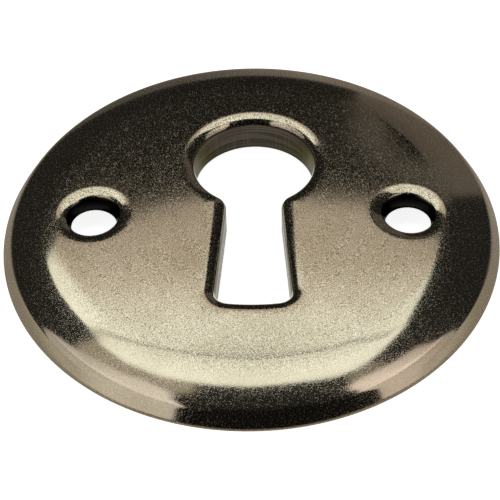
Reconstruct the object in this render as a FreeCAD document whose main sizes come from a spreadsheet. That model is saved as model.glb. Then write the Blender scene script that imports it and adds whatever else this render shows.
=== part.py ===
# Keyhole escutcheon for a cabinet or drawer lock, in millimetres.
# A round domed plate with a hollow back, a keyhole whose walls run down to the mounting plane,
# and two countersunk screw holes beside it.
# The frame stands at the disc's centre on the mounting plane. +Z points out of the face, and the
# round part of the keyhole lies towards +Y.

import FreeCAD, Part
import math
import os
import Sketcher

NODE = "escutcheon_plate"

# Every driving dimension, with its note. Lengths are in millimetres and angles in degrees.
SIZES = [
    ("plate_diameter", 35.0, "outside diameter on the mounting plane"),
    ("plate_height", 3.0, "height of the face's crown over the mounting plane"),
    ("hollow_depth", 1.3, "height of the hollow's flat ceiling over the mounting plane"),
    ("hollow_slope", 22.5, "lean of the hollow's side over the mounting plane"),
    ("land_width", 1.4, "width of the ring that rests on the furniture"),
    ("face_crown", 0.58, "rise of the face from its corner to its centre"),
    ("band_width", 2.88, "width in plan of the sloping band round the face"),
    ("band_radius", 15.2, "radius of the band's gentle bulge in section"),
    ("edge_height", 1.22, "height of the corner between band and edge"),
    ("edge_run", 0.70, "how far the steep edge leans in over its height"),
    ("shoulder_round", 5.7, "rounding where the face bends into the band"),
    ("rim_round", 1.07, "rounding where the band bends into the edge"),
    ("bow_diameter", 8.5, "diameter of the keyhole's round part"),
    ("bow_offset", 5.1, "bow centre above the plate's centre"),
    ("slot_reach", 13.46, "from the bow's centre to the foot of the slot"),
    ("slot_foot_width", 5.15, "width of the slot just over its foot corners"),
    ("slot_taper", 4.6, "lean of each side of the slot"),
    ("neck_round", 1.05, "rounding where the bow runs into the slot"),
    ("foot_round", 0.95, "rounding of the slot's foot corners"),
    ("lip_round", 0.95, "rounding of the keyhole's upper edge"),
    ("collar_wall", 1.1, "thickness of the collar round the keyhole"),
    ("collar_neck_round", 0.8, "rounding of the collar's outside at the neck"),
    ("screw_hole_diameter", 3.2, "through hole for a countersunk screw"),
    ("screw_edge_distance", 6.5, "from the plate's rim to a screw hole's centre"),
    ("countersink_angle", 90.0, "included angle of the countersink"),
    ("countersink_diameter", 5.65, "diameter of the countersink level with the crown"),
    ("countersink_round", 0.9, "rounding of the countersink's upper edge"),
]

FULL_TURN = 360.0
NEAR = 1e-3

# The Sketcher's own numbers for the ends and centre of a curve, and for its two axes.
START, END, CENTRE = range(1, 4)
ACROSS_AXIS, UP_AXIS = range(-1, -3, -1)
SKETCH_ORIGIN = (ACROSS_AXIS, START)


def make_sheet(doc):
    """The spreadsheet that holds each driving dimension under its own alias."""
    sheet = doc.addObject("Spreadsheet::Sheet", "Sizes")
    for row, (alias, value, note) in enumerate(SIZES, start=1):
        sheet.set(f"A{row}", alias)
        sheet.set(f"B{row}", str(value))
        sheet.set(f"C{row}", note)
        sheet.setAlias(f"B{row}", alias)
    doc.recompute()
    return sheet


def origin_plane(body, role):
    """The body's own origin plane with the given role."""
    return next(item for item in body.Origin.OriginFeatures if item.Role == role)


def new_sketch(body, name, role):
    """An empty sketch lying on one of the body's origin planes."""
    sketch = body.newObject("Sketcher::SketchObject", name)
    sketch.AttachmentSupport = [(origin_plane(body, role), "")]
    sketch.MapMode = "FlatFace"
    return sketch


def size_constraint(sketch, name, expression, *definition):
    """A named dimension of the sketch, driven by an expression on the sheet."""
    index = sketch.addConstraint(Sketcher.Constraint(*definition))
    sketch.renameConstraint(index, name)
    sketch.setExpression(f"Constraints.{name}", expression)


def nested_circle(first, second, radius, near):
    """Centre of a circle of a given radius that touches two larger circles from inside.

    first and second are (centre, radius) pairs, and near picks one of the two answers.
    """
    (first_centre, first_radius), (second_centre, second_radius) = first, second
    first_reach = first_radius - radius
    second_reach = second_radius - radius
    line = second_centre - first_centre
    along = (first_reach**2 - second_reach**2 + line.Length**2) / (2 * line.Length)
    aside = math.sqrt(first_reach**2 - along**2)
    unit = FreeCAD.Vector(line).normalize()
    sideways = FreeCAD.Vector(-unit.y, unit.x, 0)
    answers = [first_centre + unit * along + sideways * (side * aside) for side in (1, -1)]
    return min(answers, key=lambda place: place.distanceToPoint(near))


def corner_circle(corner, along, centre, reach, radius):
    """Centre of a circle that touches a line and, from inside, a larger circle.

    The line runs through corner in the direction along and has the circle on its left. centre and
    reach are the larger circle's.
    """
    left = FreeCAD.Vector(-along.y, along.x, 0)
    start = corner + left * radius - centre
    travel = -start.dot(along)
    apart = math.sqrt(travel**2 - start.Length**2 + (reach - radius) ** 2)
    return start + along * (travel + apart) + centre


def circle_through(start, end, radius):
    """Centre of a circle of a given radius through two points, on the left of the way between them."""
    chord = end - start
    rise = math.sqrt(radius**2 - (chord.Length / 2) ** 2)
    return (start + end) / 2 + FreeCAD.Vector(-chord.y, chord.x, 0).normalize() * rise


def touch(centre, inner_centre, radius):
    """Where a circle is touched from inside by a smaller one with its centre at inner_centre."""
    return centre + (inner_centre - centre).normalize() * radius


def add_arc(sketch, centre, radius, start, end):
    """Adds the arc that runs anticlockwise from start to end, and gives its index."""
    angles = [math.atan2(place.y - centre.y, place.x - centre.x) for place in (start, end)]
    circle = Part.Circle(centre, FreeCAD.Vector(0, 0, 1), radius)
    return sketch.addGeometry(Part.ArcOfCircle(circle, *angles))


def add_line(sketch, start, end):
    """Adds the straight line from start to end, and gives its index."""
    return sketch.addGeometry(Part.LineSegment(start, end))


def add_outside(sketch, size):
    """Draws the plate's outside and gives its curves, from the mounting plane up to the crown.

    They are the steep edge, the rim's round, the band, the shoulder's round and the face. The
    corners that the two rounds take off stay as construction points, and carry the dimensions.
    """
    point = FreeCAD.Vector
    rim = point(size["plate_diameter"] / 2, 0)
    edge_corner = point(rim.x - size["edge_run"], size["edge_height"])
    face_corner = point(
        edge_corner.x - size["band_width"], size["plate_height"] - size["face_crown"]
    )
    crown = point(0, size["plate_height"])
    face_radius = (face_corner.x**2 + size["face_crown"] ** 2) / (2 * size["face_crown"])
    face_centre = crown - point(0, face_radius)
    band_radius = size["band_radius"]
    band_centre = circle_through(edge_corner, face_corner, band_radius)
    rim_round = size["rim_round"]
    up_edge = (edge_corner - rim).normalize()
    rim_centre = corner_circle(edge_corner, up_edge, band_centre, band_radius, rim_round)
    shoulder_round = size["shoulder_round"]
    shoulder_centre = nested_circle(
        (face_centre, face_radius), (band_centre, band_radius), shoulder_round, face_corner
    )

    edge_end = rim + up_edge * (rim_centre - rim).dot(up_edge)
    rim_end = touch(band_centre, rim_centre, band_radius)
    band_end = touch(band_centre, shoulder_centre, band_radius)
    shoulder_end = touch(face_centre, shoulder_centre, face_radius)
    edge = add_line(sketch, rim, edge_end)
    rim_bend = add_arc(sketch, rim_centre, rim_round, edge_end, rim_end)
    band = add_arc(sketch, band_centre, band_radius, rim_end, band_end)
    shoulder_bend = add_arc(sketch, shoulder_centre, shoulder_round, band_end, shoulder_end)
    face = add_arc(sketch, face_centre, face_radius, shoulder_end, crown)
    edge_mark, face_mark = (
        sketch.addGeometry(Part.Point(place), True) for place in (edge_corner, face_corner)
    )

    curves = [edge, rim_bend, band, shoulder_bend, face]
    for lower, upper in zip(curves, curves[1:]):
        sketch.addConstraint(Sketcher.Constraint("Tangent", lower, END, upper, START))
    resting = [
        (edge, START, ACROSS_AXIS),
        (face, CENTRE, UP_AXIS),
        (face, END, UP_AXIS),
        (edge_mark, START, edge),
        (edge_mark, START, band),
        (face_mark, START, band),
        (face_mark, START, face),
    ]
    for place in resting:
        sketch.addConstraint(Sketcher.Constraint("PointOnObject", *place))
    spans = [
        ("crown_height", "plate_height", "DistanceY", (*SKETCH_ORIGIN, face, END)),
        ("edge_lean", "edge_run", "DistanceX", (edge_mark, START, edge, START)),
        ("edge_rise", "edge_height", "DistanceY", (edge, START, edge_mark, START)),
        ("band_run", "band_width", "DistanceX", (face_mark, START, edge_mark, START)),
        ("crown_rise", "face_crown", "DistanceY", (face_mark, START, face, END)),
        ("band_bulge", "band_radius", "Radius", (band,)),
        ("rim_bend", "rim_round", "Radius", (rim_bend,)),
        ("shoulder_bend", "shoulder_round", "Radius", (shoulder_bend,)),
    ]
    for name, alias, kind, places in spans:
        size_constraint(sketch, name, f"Sizes.{alias}", kind, *places, size[alias])
    size_constraint(
        sketch, "rim_radius", "Sizes.plate_diameter / 2",
        "DistanceX", *SKETCH_ORIGIN, edge, START, rim.x,
    )
    return curves


def add_hollow(sketch, size):
    """Draws the hollow back and gives its curves, from the mounting plane up to the centre.

    They are the sloping side and the flat ceiling.
    """
    point = FreeCAD.Vector
    slope = math.radians(size["hollow_slope"])
    foot = point(size["plate_diameter"] / 2 - size["land_width"], 0)
    corner = foot + point(-1 / math.tan(slope), 1) * size["hollow_depth"]
    middle = point(0, size["hollow_depth"])

    side = add_line(sketch, foot, corner)
    ceiling = add_line(sketch, corner, middle)
    sketch.addConstraint(Sketcher.Constraint("Coincident", side, END, ceiling, START))
    sketch.addConstraint(Sketcher.Constraint("Horizontal", ceiling))
    sketch.addConstraint(Sketcher.Constraint("PointOnObject", side, START, ACROSS_AXIS))
    sketch.addConstraint(Sketcher.Constraint("PointOnObject", ceiling, END, UP_AXIS))
    size_constraint(
        sketch, "ceiling_height", "Sizes.hollow_depth",
        "DistanceY", *SKETCH_ORIGIN, ceiling, END, middle.y,
    )
    size_constraint(
        sketch, "side_lean", "(180 - Sizes.hollow_slope) * 1deg",
        "Angle", ACROSS_AXIS, START, side, START, math.pi - slope,
    )
    return [side, ceiling]


def plate_section(body, size):
    """Half section of the hollow plate: outside, hollow, and the two lines that close it."""
    sketch = new_sketch(body, "PlateSection", "YZ_Plane")
    outside = add_outside(sketch, size)
    hollow = add_hollow(sketch, size)
    crown = FreeCAD.Vector(0, size["plate_height"])
    centre_line = add_line(sketch, crown, FreeCAD.Vector(0, size["hollow_depth"]))
    rim = FreeCAD.Vector(size["plate_diameter"] / 2, 0)
    land = add_line(sketch, rim - FreeCAD.Vector(size["land_width"], 0), rim)
    joints = [
        (outside[-1], END, centre_line, START),
        (centre_line, END, hollow[-1], END),
        (hollow[0], START, land, START),
        (land, END, outside[0], START),
    ]
    for joint in joints:
        sketch.addConstraint(Sketcher.Constraint("Coincident", *joint))
    size_constraint(
        sketch, "land", "Sizes.land_width", "DistanceX", land, START, land, END,
        size["land_width"],
    )
    return sketch


def domed_plate(doc, body, size):
    """The hollow plate, revolved from its section."""
    section = plate_section(body, size)
    doc.recompute()
    plate = body.newObject("PartDesign::Revolution", "DomedPlate")
    plate.Profile = section
    plate.ReferenceAxis = (section, ["V_Axis"])
    plate.Angle = FULL_TURN
    doc.recompute()
    return plate


def round_edges(doc, body, name, edges, expression):
    """A fillet on named edges of the body's last feature, with its radius driven by the sheet."""
    if not edges:
        raise RuntimeError(f"{name}: no edge was found to round")
    base = body.Tip
    fillet = body.newObject("PartDesign::Fillet", name)
    fillet.Base = (base, edges)
    fillet.setExpression("Radius", expression)
    doc.recompute()
    return fillet


def keyhole_outline(body, name, size, growth, neck):
    """Outline of the keyhole, or of the collar round it, as a chain of tangent curves.

    growth is the alias by which the outline lies outside the keyhole's own, or None. neck is the
    alias of the rounding between bow and slot.
    """
    sketch = new_sketch(body, name, "XY_Plane")
    point = FreeCAD.Vector
    extra = size[growth] if growth else 0.0
    more = f" + Sizes.{growth}" if growth else ""
    lean = math.radians(size["slot_taper"])
    bow_radius = size["bow_diameter"] / 2 + extra
    neck_radius = size[neck]
    corner_radius = size["foot_round"] + extra
    foot_radius = size["slot_reach"] + extra
    foot_half = size["slot_foot_width"] / 2 + extra * math.cos(lean)
    bow_centre = point(0, size["bow_offset"])

    # The foot's corner circle touches the foot's arc inside and the slot's side.
    corner_x = foot_half - corner_radius * math.cos(lean)
    corner_drop = math.sqrt((foot_radius - corner_radius) ** 2 - corner_x**2)
    corner_centre = point(corner_x, bow_centre.y - corner_drop)
    side_foot = corner_centre + point(math.cos(lean), math.sin(lean)) * corner_radius

    # The neck's circle touches the bow outside and the slot's side.
    along = point(-math.sin(lean), math.cos(lean))
    outward = point(math.cos(lean), math.sin(lean))
    start = side_foot + outward * neck_radius - bow_centre
    reach = bow_radius + neck_radius
    half_way = start.dot(along)
    travel = -half_way - math.sqrt(half_way**2 - start.Length**2 + reach**2)
    side_neck = side_foot + along * travel
    neck_centre = side_neck + outward * neck_radius
    meet = bow_centre + (neck_centre - bow_centre).normalize() * bow_radius
    foot_meet = bow_centre + (corner_centre - bow_centre).normalize() * foot_radius

    def mirrored(place):
        return point(-place.x, place.y)

    bow = add_arc(sketch, bow_centre, bow_radius, meet, mirrored(meet))
    right_neck = add_arc(sketch, neck_centre, neck_radius, meet, side_neck)
    right_side = add_line(sketch, side_neck, side_foot)
    right_corner = add_arc(sketch, corner_centre, corner_radius, foot_meet, side_foot)
    foot = add_arc(sketch, bow_centre, foot_radius, mirrored(foot_meet), foot_meet)
    left_corner = add_arc(
        sketch, mirrored(corner_centre), corner_radius, mirrored(side_foot), mirrored(foot_meet)
    )
    left_side = add_line(sketch, mirrored(side_foot), mirrored(side_neck))
    left_neck = add_arc(
        sketch, mirrored(neck_centre), neck_radius, mirrored(side_neck), mirrored(meet)
    )

    joints = [
        (bow, START, right_neck, START),
        (right_neck, END, right_side, START),
        (right_side, END, right_corner, END),
        (right_corner, START, foot, END),
        (foot, START, left_corner, END),
        (left_corner, START, left_side, START),
        (left_side, END, left_neck, START),
        (left_neck, END, bow, END),
    ]
    for joint in joints:
        sketch.addConstraint(Sketcher.Constraint("Tangent", *joint))
    sketch.addConstraint(Sketcher.Constraint("PointOnObject", bow, CENTRE, UP_AXIS))
    sketch.addConstraint(Sketcher.Constraint("Coincident", foot, CENTRE, bow, CENTRE))
    for right, left in ((START, END), (END, START)):
        sketch.addConstraint(
            Sketcher.Constraint("Symmetric", right_side, right, left_side, left, UP_AXIS)
        )

    size_constraint(
        sketch, "bow_radius", f"Sizes.bow_diameter / 2{more}", "Radius", bow, bow_radius,
    )
    size_constraint(
        sketch, "bow_height", "Sizes.bow_offset",
        "DistanceY", *SKETCH_ORIGIN, bow, CENTRE, bow_centre.y,
    )
    size_constraint(
        sketch, "foot_radius", f"Sizes.slot_reach{more}", "Radius", foot, foot_radius,
    )
    size_constraint(
        sketch, "neck_radius", f"Sizes.{neck}", "Radius", right_neck, neck_radius,
    )
    size_constraint(
        sketch, "corner_radius", f"Sizes.foot_round{more}", "Radius", right_corner, corner_radius,
    )
    widening = f" + 2 * Sizes.{growth} * cos(Sizes.slot_taper * 1deg)" if growth else ""
    size_constraint(
        sketch, "foot_width", f"Sizes.slot_foot_width{widening}",
        "DistanceX", left_side, START, right_side, END, 2 * foot_half,
    )
    size_constraint(
        sketch, "side_lean", "(90 + Sizes.slot_taper) * 1deg",
        "Angle", ACROSS_AXIS, START, right_side, END, math.radians(90) + lean,
    )
    return sketch


def add_collar(doc, body, size):
    """The collar round the keyhole, from the mounting plane up into the plate's wall."""
    outline = keyhole_outline(body, "CollarOutline", size, "collar_wall", "collar_neck_round")
    doc.recompute()
    collar = body.newObject("PartDesign::Pad", "Collar")
    collar.Profile = outline
    collar.Type = "Length"
    collar.setExpression("Length", "(Sizes.plate_height + Sizes.hollow_depth) / 2")
    doc.recompute()
    return collar


def cut_keyhole(doc, body, size):
    """The keyhole, cut straight through plate and collar."""
    outline = keyhole_outline(body, "KeyholeOutline", size, None, "neck_round")
    doc.recompute()
    keyhole = body.newObject("PartDesign::Pocket", "Keyhole")
    keyhole.Profile = outline
    keyhole.Type = "ThroughAll"
    keyhole.Reversed = True
    doc.recompute()
    return keyhole


def edges_over(outline, shape, low, high):
    """Names of the shape's edges that stand over a sketched outline, wholly between two heights."""
    names = []
    for number, edge in enumerate(shape.Edges, start=1):
        heights = [vertex.Z for vertex in edge.Vertexes]
        if min(heights) < low or max(heights) > high:
            continue
        middle = edge.valueAt((edge.FirstParameter + edge.LastParameter) / 2)
        foot = Part.Vertex(middle.x, middle.y, 0)
        if outline.Shape.distToShape(foot)[0] < NEAR:
            names.append(f"Edge{number}")
    return names


def drill_screw_holes(doc, body, size):
    """The two countersunk screw holes, in line with the plate's centre."""
    sketch = new_sketch(body, "ScrewPlaces", "XY_Plane")
    sketch.setExpression("AttachmentOffset.Base.z", "Sizes.plate_height")
    reach = size["plate_diameter"] / 2 - size["screw_edge_distance"]
    radius = size["screw_hole_diameter"] / 2
    up = FreeCAD.Vector(0, 0, 1)
    right, left = (
        sketch.addGeometry(Part.Circle(FreeCAD.Vector(side * reach, 0), up, radius))
        for side in (1, -1)
    )
    sketch.addConstraint(Sketcher.Constraint("PointOnObject", right, CENTRE, ACROSS_AXIS))
    sketch.addConstraint(
        Sketcher.Constraint("Symmetric", right, CENTRE, left, CENTRE, *SKETCH_ORIGIN)
    )
    sketch.addConstraint(Sketcher.Constraint("Equal", right, left))
    size_constraint(
        sketch, "screw_reach", "Sizes.plate_diameter / 2 - Sizes.screw_edge_distance",
        "DistanceX", *SKETCH_ORIGIN, right, CENTRE, reach,
    )
    size_constraint(
        sketch, "screw_radius", "Sizes.screw_hole_diameter / 2", "Radius", right, radius,
    )
    doc.recompute()

    holes = body.newObject("PartDesign::Hole", "ScrewHoles")
    holes.Profile = sketch
    doc.recompute()
    holes.DepthType = "ThroughAll"
    holes.HoleCutType = "Countersink"
    holes.HoleCutCustomValues = True
    holes.setExpression("Diameter", "Sizes.screw_hole_diameter")
    holes.setExpression("HoleCutDiameter", "Sizes.countersink_diameter")
    holes.setExpression("HoleCutCountersinkAngle", "Sizes.countersink_angle")
    doc.recompute()
    return holes


def countersink_edges(shape):
    """Names of the edges where the countersinks meet the face."""
    tops = [
        edge
        for face in shape.Faces
        if isinstance(face.Surface, Part.Cone)
        for edge in face.Edges
        if not isinstance(edge.Curve, (Part.Line, Part.Circle))
    ]
    return [
        f"Edge{number}"
        for number, edge in enumerate(shape.Edges, start=1)
        if any(edge.isSame(top) for top in tops)
    ]


def build_plate(doc, size):
    """The whole escutcheon as one PartDesign body."""
    body = doc.addObject("PartDesign::Body", "EscutcheonPlate")
    body.Label = NODE
    domed_plate(doc, body, size)
    add_collar(doc, body, size)
    cut_keyhole(doc, body, size)
    drill_screw_holes(doc, body, size)

    top = size["plate_height"]
    inside = (top + size["hollow_depth"]) / 2
    lip = edges_over(doc.KeyholeOutline, body.Tip.Shape, inside, top)
    round_edges(doc, body, "Lip", lip, "Sizes.lip_round")
    sinks = countersink_edges(body.Tip.Shape)
    round_edges(doc, body, "CountersinkLips", sinks, "Sizes.countersink_round")
    return body


def check_document(doc):
    """Stops if any object of the document failed to build."""
    for item in doc.Objects:
        faults = {"Invalid", "Error"} & set(item.State)
        if faults:
            raise RuntimeError(f"{item.Name} did not build: {sorted(faults)}")


def export_body(body):
    """Checks the body's solid and writes it under its label."""
    shape = body.Shape
    if shape.isNull() or not shape.isValid() or len(shape.Solids) != 1:
        raise RuntimeError(f"{body.Label} is not one valid solid")
    os.makedirs("parts", exist_ok=True)
    shape.exportStep(f"parts/{body.Label}.step")
    box = shape.optimalBoundingBox(False)
    print(
        f"{body.Label}: {shape.Volume:.1f} mm3, "
        f"{box.XLength:.2f} x {box.YLength:.2f} x {box.ZLength:.2f} mm"
    )


def main():
    """Builds the document, checks it and writes the part."""
    doc = FreeCAD.newDocument("KeyholeEscutcheon")
    make_sheet(doc)
    size = {alias: value for alias, value, _ in SIZES}
    body = build_plate(doc, size)
    doc.recompute()
    check_document(doc)
    export_body(body)


main()
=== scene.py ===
"""Keyhole escutcheon of antique brass, dressed for its photograph.

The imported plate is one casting. This script models it again as one smooth mesh in the same place,
gives it its darkened brass, and sets up a pale table, soft lamps and the camera.
"""

from __future__ import annotations

import logging
import math
from collections.abc import Callable
from dataclasses import dataclass, field
from enum import Enum

import bpy
from mathutils import Matrix, Vector


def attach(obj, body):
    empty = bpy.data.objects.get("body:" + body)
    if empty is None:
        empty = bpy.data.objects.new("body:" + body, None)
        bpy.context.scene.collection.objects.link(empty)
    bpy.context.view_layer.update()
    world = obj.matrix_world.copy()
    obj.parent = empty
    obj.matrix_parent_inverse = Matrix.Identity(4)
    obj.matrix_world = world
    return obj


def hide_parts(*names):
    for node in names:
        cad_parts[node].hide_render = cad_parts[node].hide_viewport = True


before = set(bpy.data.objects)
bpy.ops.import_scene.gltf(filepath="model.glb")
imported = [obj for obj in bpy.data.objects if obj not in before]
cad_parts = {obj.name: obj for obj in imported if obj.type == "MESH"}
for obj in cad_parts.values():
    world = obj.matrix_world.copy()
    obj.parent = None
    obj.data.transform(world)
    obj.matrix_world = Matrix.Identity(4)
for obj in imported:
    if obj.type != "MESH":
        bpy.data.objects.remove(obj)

MM = 0.001
CAD_NODE = "escutcheon_plate"
BODY = "root"

# Rows of faces in the two roundings of the keyhole's lip
LIP_ROWS = 5
BEND_ROWS = 9

# Rows of faces down a screw hole: its mouth, the turn at its throat, and its bore
MOUTH_ROWS = 9
THROAT_ROWS = 5
BORE_ROWS = 3

LOG = logging.getLogger("escutcheon")


class Plane(Enum):
    """The plane that an outline is drawn in, by the direction from which it is looked at."""

    PLAN = (0, 0, 1)
    SECTION = (0, -1, 0)


@dataclass(frozen=True)
class Circle:
    """A circle in a drawing.

    Args:
        centre: Its centre.
        radius: Its radius.
    """

    centre: Vector
    radius: float

    def touch(self, inner: Circle) -> Vector:
        """Where a smaller circle touches this one from inside."""
        return self.centre + (inner.centre - self.centre).normalized() * self.radius

    def height(self, across: float) -> float:
        """Height of the circle's upper side at a distance from the drawing's upright axis."""
        return self.centre.y + math.sqrt(self.radius**2 - (across - self.centre.x) ** 2)


def circle_through(start: Vector, end: Vector, radius: float) -> Circle:
    """The circle of a given radius through two points, with its centre on the left of the way.

    Args:
        start: The first point.
        end: The second point.
        radius: The circle's radius.

    Returns:
        The circle.
    """
    chord = end - start
    rise = math.sqrt(radius**2 - (chord.length / 2) ** 2)
    return Circle((start + end) / 2 + Vector((-chord.y, chord.x)).normalized() * rise, radius)


def nested_circle(first: Circle, second: Circle, radius: float, near: Vector) -> Circle:
    """The circle of a given radius that touches two larger ones from inside.

    Args:
        first: One of the larger circles.
        second: The other one.
        radius: The small circle's radius.
        near: A point that picks one of the two answers.

    Returns:
        The small circle.
    """
    line = second.centre - first.centre
    first_reach = first.radius - radius
    second_reach = second.radius - radius
    along = (first_reach**2 - second_reach**2 + line.length_squared) / (2 * line.length)
    aside = math.sqrt(first_reach**2 - along**2)
    unit = line.normalized()
    sideways = Vector((-unit.y, unit.x))
    answers = [first.centre + unit * along + sideways * (side * aside) for side in (1, -1)]
    return Circle(min(answers, key=lambda place: (place - near).length), radius)


def corner_circle(corner: Vector, along: Vector, large: Circle, radius: float) -> Circle:
    """The circle that touches a line and, from inside, a larger circle.

    Args:
        corner: A point on the line.
        along: The line's direction, with the circle on its left.
        large: The larger circle.
        radius: The small circle's radius.

    Returns:
        The small circle.
    """
    left = Vector((-along.y, along.x))
    start = corner + left * radius - large.centre
    travel = -start.dot(along)
    apart = math.sqrt(travel**2 - start.length_squared + (large.radius - radius) ** 2)
    return Circle(start + along * (travel + apart) + large.centre, radius)


class Pen:
    """Draws a chain of edges in edit mode from one point, by extruding and spinning its tip."""

    def __init__(self, name: str, plane: Plane, start: Vector) -> None:
        """Puts down the first point.

        Args:
            name: The new object's name.
            plane: The plane that the pen draws in.
            start: The first point, in the drawing.
        """
        self.plane = plane
        self.tip = start
        bpy.ops.object.select_all(action="DESELECT")
        bpy.ops.mesh.primitive_plane_add(size=0.1, location=(0, 0, 0))
        self.thing = bpy.context.object
        self.thing.name = name
        bpy.ops.object.mode_set(mode="EDIT")
        bpy.ops.mesh.select_all(action="SELECT")
        bpy.ops.mesh.merge(type="CENTER")
        bpy.ops.transform.translate(value=self.place(start))

    def place(self, spot: Vector) -> Vector:
        """A drawing's point in space.

        Args:
            spot: The point in the drawing.

        Returns:
            The same point in space.
        """
        if self.plane is Plane.PLAN:
            return Vector((spot.x, spot.y, 0))
        return Vector((spot.x, 0, spot.y))

    def line(self, end: Vector, steps: int = 1) -> None:
        """Draws a straight line.

        Args:
            end: Where the line ends.
            steps: The number of equal steps.
        """
        step = (end - self.tip) / steps
        for _ in range(steps):
            bpy.ops.mesh.extrude_region_move(
                TRANSFORM_OT_translate={"value": self.place(step)}
            )
        self.tip = end

    def arc(self, centre: Vector, end: Vector, steps: int) -> None:
        """Draws the shorter arc round a centre.

        Args:
            centre: The arc's centre.
            end: Where the arc ends.
            steps: The number of equal steps.
        """
        first = self.tip - centre
        last = end - centre
        turn = math.atan2(first.x * last.y - first.y * last.x, first.dot(last))
        self.sweep(centre, turn, end, steps)

    def sweep(self, centre: Vector, turn: float, end: Vector, steps: int) -> None:
        """Draws an arc round a centre through an anticlockwise turn.

        Args:
            centre: The arc's centre.
            turn: The angle, in radians, anticlockwise.
            end: Where the arc ends.
            steps: The number of equal steps.
        """
        bpy.ops.mesh.spin(
            steps=steps, angle=-turn, center=self.place(centre), axis=self.plane.value
        )
        self.tip = end

    def lift(self) -> bpy.types.Object:
        """Leaves edit mode and gives the drawn object."""
        bpy.ops.object.mode_set(mode="OBJECT")
        return self.thing


@dataclass(frozen=True)
class Keyhole:
    """The keyhole's outline, in millimetres.

    Args:
        bow_radius: Radius of the round part.
        bow_offset: The round part's centre above the plate's centre.
        reach: From the round part's centre to the foot of the slot.
        foot_half: Half the slot's width just over its foot corners.
        lean: Lean of each side of the slot, in degrees.
        neck: Rounding where the round part runs into the slot.
        corner: Rounding of the foot's corners.
        aside: How far the outline sits to the right of the plate's axis, from its casting.
    """

    bow_radius: float = 4.25
    bow_offset: float = 5.1
    reach: float = 13.46
    foot_half: float = 2.575
    lean: float = 4.6
    neck: float = 1.05
    corner: float = 0.95
    aside: float = 0.21

    def grown(self, extra: float, neck: float) -> Keyhole:
        """The outline that lies outside this one.

        Args:
            extra: How far outside it lies.
            neck: Its own rounding at the neck.

        Returns:
            The larger outline.
        """
        widening = extra * math.cos(math.radians(self.lean))
        return Keyhole(
            self.bow_radius + extra,
            self.bow_offset,
            self.reach + extra,
            self.foot_half + widening,
            self.lean,
            neck,
            self.corner + extra,
            self.aside,
        )

    def covers(self, place: Vector, margin: float) -> bool:
        """Whether a point lies inside the outline or close to it.

        Args:
            place: The point.
            margin: How far outside the outline still counts.

        Returns:
            True inside the outline and within the margin.
        """
        across = abs(place.x - self.aside)
        if Vector((across, place.y - self.bow_offset)).length < self.bow_radius + margin:
            return True
        if not self.bow_offset - self.reach - margin < place.y < self.bow_offset:
            return False
        rise = place.y - (self.bow_offset - self.reach + self.corner)
        half = self.foot_half - rise * math.tan(math.radians(self.lean))
        return across < half + margin

    def draw(self, name: str) -> bpy.types.Object:
        """Draws the outline's right half and mirrors it, as a closed chain of edges.

        Args:
            name: The new object's name.

        Returns:
            The object, in plan at height 0.
        """
        lean = math.radians(self.lean)
        outward = Vector((math.cos(lean), math.sin(lean)))
        along = Vector((-math.sin(lean), math.cos(lean)))
        bow = Vector((0, self.bow_offset))
        corner_x = self.foot_half - self.corner * math.cos(lean)
        drop = math.sqrt((self.reach - self.corner) ** 2 - corner_x**2)
        corner = Vector((corner_x, bow.y - drop))
        side_foot = corner + outward * self.corner
        start = side_foot + outward * self.neck - bow
        half_way = start.dot(along)
        span = (self.bow_radius + self.neck) ** 2
        travel = -half_way - math.sqrt(half_way**2 - start.length_squared + span)
        side_neck = side_foot + along * travel
        neck = side_neck + outward * self.neck
        meet = bow + (neck - bow).normalized() * self.bow_radius
        foot_meet = bow + (corner - bow).normalized() * self.reach
        top = bow + Vector((0, self.bow_radius))
        turn = math.pi / 2 - math.atan2(meet.y - bow.y, meet.x - bow.x)

        pen = Pen(name, Plane.PLAN, bow - Vector((0, self.reach)))
        pen.arc(bow, foot_meet, 12)
        pen.arc(corner, side_foot, 14)
        pen.line(side_neck, 22)
        pen.arc(neck, meet, 14)
        pen.sweep(bow, turn, top, 84)
        outline = pen.lift()
        mirror = outline.modifiers.new("OtherHalf", "MIRROR")
        mirror.use_clip = True
        mirror.merge_threshold = 0.0001
        apply_modifiers(outline)
        edit(outline)
        bpy.ops.mesh.select_all(action="SELECT")
        bpy.ops.transform.translate(value=(self.aside, 0, 0))
        bpy.ops.object.mode_set(mode="OBJECT")
        return outline


def apply_modifiers(thing: bpy.types.Object) -> None:
    """Applies all of an object's modifiers in order.

    Args:
        thing: The object.
    """
    bpy.ops.object.select_all(action="DESELECT")
    thing.select_set(True)
    bpy.context.view_layer.objects.active = thing
    for modifier in list(thing.modifiers):
        bpy.ops.object.modifier_apply(modifier=modifier.name)


def edit(thing: bpy.types.Object) -> None:
    """Opens an object in edit mode with nothing selected.

    Args:
        thing: The object.
    """
    bpy.ops.object.select_all(action="DESELECT")
    thing.select_set(True)
    bpy.context.view_layer.objects.active = thing
    bpy.ops.object.mode_set(mode="EDIT")
    bpy.ops.mesh.select_all(action="DESELECT")


def join(things: list[bpy.types.Object], name: str) -> bpy.types.Object:
    """Joins objects into one.

    Args:
        things: The objects, of which the first takes in the others.
        name: The joined object's name.

    Returns:
        The joined object.
    """
    bpy.ops.object.select_all(action="DESELECT")
    for thing in things:
        thing.select_set(True)
    bpy.context.view_layer.objects.active = things[0]
    bpy.ops.object.join()
    things[0].name = name
    return things[0]


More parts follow.
